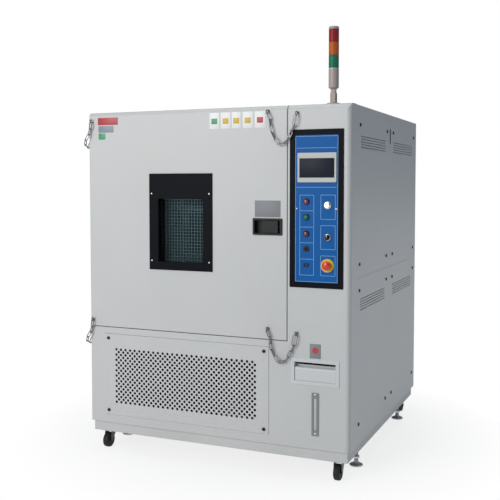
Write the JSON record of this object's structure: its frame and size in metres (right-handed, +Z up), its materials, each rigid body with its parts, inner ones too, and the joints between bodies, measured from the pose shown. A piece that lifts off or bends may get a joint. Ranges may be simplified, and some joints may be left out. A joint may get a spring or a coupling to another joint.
{
  "type": "environmental test chamber",
  "caption": "Walk-up climate test cabinet on casters: insulated side-hinged door with window, control column, water drawer, grille, folding signal tower.",
  "frame": {"origin": "on the floor, under the middle of the cabinet", "axes": "+Z up, +X to the right as the viewer faces the door, -Y toward the viewer"},
  "size_m": [1.3946, 1.3838, 2.05],
  "materials": {
    "painted_white": "satin powder coat",
    "skirt_paint": "satin powder coat",
    "stainless": "brushed",
    "zinc": "zinc plated",
    "chain_steel": "plated",
    "black_plastic": "matt",
    "black_gloss": "gloss",
    "panel_blue": "printed film",
    "screen_grey": "gloss",
    "rubber_grey": "matt",
    "black_rubber": "matt",
    "glass": "clear",
    "foam": "foam",
    "red_plastic": "gloss",
    "yellow_plastic": "gloss",
    "beige_plastic": "satin",
    "lens": "translucent",
    "aluminium": "mill",
    "motor_grey": "gloss enamel",
    "black_enamel": "gloss enamel",
    "tank_plastic": "translucent"
  },
  "bodies": {
    "cabinet": {"base_frame": "skirt_paint", "cabinet_shell": "painted_white", "front_frame": "painted_white", "grille_panel": "painted_white", "side_panels": "painted_white", "rear_cover": "painted_white", "panel_fasteners": "black_plastic", "insulation": "foam", "chamber_liner": "stainless", "throat_frame": "stainless", "air_baffle": "stainless", "fan_motor": "motor_grey", "air_coils": "aluminium", "shelf_rails": "stainless", "shelves": "stainless", "panel_surround": "black_plastic", "control_panel": "panel_blue", "touch_screen": "screen_grey", "panel_fittings": "black_plastic", "switch_bodies": "yellow_plastic", "drawer_housing": "painted_white", "level_gauge": "zinc", "water_tank": "tank_plastic", "condenser": "aluminium", "compressors": "black_enamel", "tower_foot": "zinc", "body_hinges": "zinc", "frame_chains": "chain_steel"},
    "door": {"door_leaf": "painted_white", "door_liner": "stainless", "door_gasket": "rubber_grey", "window_frame": "black_gloss", "window_panes": "glass", "window_mesh": "zinc", "latch_housing": "black_plastic", "door_hinges": "zinc", "door_chains": "chain_steel"},
    "paddle": {"latch_paddle": "black_plastic"},
    "tongue": {"latch_tongue": "zinc"},
    "dial": {"limit_dial": "zinc"},
    "selector": {"selector_switch": "black_plastic"},
    "stop_plunger": {"stop_plunger": "black_plastic"},
    "stop_button": {"stop_button": "red_plastic"},
    "drawer": {"water_drawer": "painted_white"},
    "tower": {"tower_light": "beige_plastic", "tower_lenses": "lens"},
    "circulation_fan": {"circulation_fan": "stainless"},
    "condenser_fan": {"condenser_fan": "black_enamel"},
    "caster_front_left": {"caster_fork_front_left": "zinc"},
    "wheel_front_left": {"caster_wheel_front_left": "black_rubber"},
    "foot_front_left": {"levelling_foot_front_left": "zinc"},
    "caster_front_right": {"caster_fork_front_right": "zinc"},
    "wheel_front_right": {"caster_wheel_front_right": "black_rubber"},
    "foot_front_right": {"levelling_foot_front_right": "zinc"},
    "caster_rear_left": {"caster_fork_rear_left": "zinc"},
    "wheel_rear_left": {"caster_wheel_rear_left": "black_rubber"},
    "foot_rear_left": {"levelling_foot_rear_left": "zinc"},
    "caster_rear_right": {"caster_fork_rear_right": "zinc"},
    "wheel_rear_right": {"caster_wheel_rear_right": "black_rubber"},
    "foot_rear_right": {"levelling_foot_rear_right": "zinc"}
  },
  "joints": [
    {"name": "door_hinge", "type": "hinge", "parent": "cabinet", "child": "door", "pos_m": [-0.692, -0.6, 1.12], "axis": [0, 0, -1], "range_deg": [0, 110]},
    {"name": "paddle_pull", "type": "hinge", "parent": "door", "child": "paddle", "pos_m": [0.336, -0.669, 1.1495], "axis": [0, 0, 1], "range_deg": [0, 35], "stiffness_Nm_per_rad": 0.5},
    {"name": "tongue_slide", "type": "slide", "parent": "door", "child": "tongue", "axis": [-1, 0, 0], "range_m": [0, 0.012]},
    {"name": "limit_dial_turn", "type": "hinge", "parent": "cabinet", "child": "dial", "pos_m": [0.574, -0.676, 1.25], "axis": [0, -1, 0], "range_deg": [-270, 0]},
    {"name": "selector_turn", "type": "hinge", "parent": "cabinet", "child": "selector", "pos_m": [0.574, -0.676, 1.108], "axis": [0, -1, 0], "range_deg": [-90, 0]},
    {"name": "stop_push", "type": "slide", "parent": "cabinet", "child": "stop_plunger", "axis": [0, 1, 0], "range_m": [0, 0.005], "stiffness_N_per_m": 400},
    {"name": "stop_twist", "type": "hinge", "parent": "stop_plunger", "child": "stop_button", "pos_m": [0.574, -0.676, 0.982], "axis": [0, -1, 0], "range_deg": [-45, 0], "stiffness_Nm_per_rad": 0.05},
    {"name": "drawer_slide", "type": "slide", "parent": "cabinet", "child": "drawer", "axis": [0, -1, 0], "range_m": [0, 0.15]},
    {"name": "tower_fold", "type": "hinge", "parent": "cabinet", "child": "tower", "pos_m": [0.57, -0.585, 1.749], "axis": [0, -1, 0], "range_deg": [0, 90]},
    {"name": "circulation_fan_spin", "type": "hinge", "parent": "cabinet", "child": "circulation_fan", "pos_m": [-0.1475, 0.275, 1.37], "axis": [0, 1, 0], "continuous": true},
    {"name": "condenser_fan_spin", "type": "hinge", "parent": "cabinet", "child": "condenser_fan", "pos_m": [-0.33, -0.33, 0.375], "axis": [0, 1, 0], "continuous": true},
    {"name": "swivel_front_left", "type": "hinge", "parent": "cabinet", "child": "caster_front_left", "pos_m": [-0.612, -0.598, 0.105], "axis": [0, 0, 1], "continuous": true},
    {"name": "roll_front_left", "type": "hinge", "parent": "caster_front_left", "child": "wheel_front_left", "pos_m": [-0.612, -0.622, 0.0375], "axis": [1, 0, 0], "continuous": true},
    {"name": "swivel_front_right", "type": "hinge", "parent": "cabinet", "child": "caster_front_right", "pos_m": [0.612, -0.598, 0.105], "axis": [0, 0, 1], "continuous": true},
    {"name": "roll_front_right", "type": "hinge", "parent": "caster_front_right", "child": "wheel_front_right", "pos_m": [0.612, -0.622, 0.0375], "axis": [1, 0, 0], "continuous": true},
    {"name": "swivel_rear_left", "type": "hinge", "parent": "cabinet", "child": "caster_rear_left", "pos_m": [-0.612, 0.598, 0.105], "axis": [0, 0, 1], "continuous": true},
    {"name": "roll_rear_left", "type": "hinge", "parent": "caster_rear_left", "child": "wheel_rear_left", "pos_m": [-0.612, 0.622, 0.0375], "axis": [1, 0, 0], "continuous": true},
    {"name": "swivel_rear_right", "type": "hinge", "parent": "cabinet", "child": "caster_rear_right", "pos_m": [0.612, 0.598, 0.105], "axis": [0, 0, 1], "continuous": true},
    {"name": "roll_rear_right", "type": "hinge", "parent": "caster_rear_right", "child": "wheel_rear_right", "pos_m": [0.612, 0.622, 0.0375], "axis": [1, 0, 0], "continuous": true},
    {"name": "level_front_left", "type": "slide", "parent": "cabinet", "child": "foot_front_left", "axis": [0, 0, 1], "range_m": [0, 0.02]},
    {"name": "level_front_right", "type": "slide", "parent": "cabinet", "child": "foot_front_right", "axis": [0, 0, 1], "range_m": [0, 0.02]},
    {"name": "level_rear_left", "type": "slide", "parent": "cabinet", "child": "foot_rear_left", "axis": [0, 0, 1], "range_m": [0, 0.02]},
    {"name": "level_rear_right", "type": "slide", "parent": "cabinet", "child": "foot_rear_right", "axis": [0, 0, 1], "range_m": [0, 0.02]}
  ],
  "couplings": [
    {"joint": "tongue_slide", "follows": "paddle_pull", "m_per_rad": 0.019481}
  ]
}
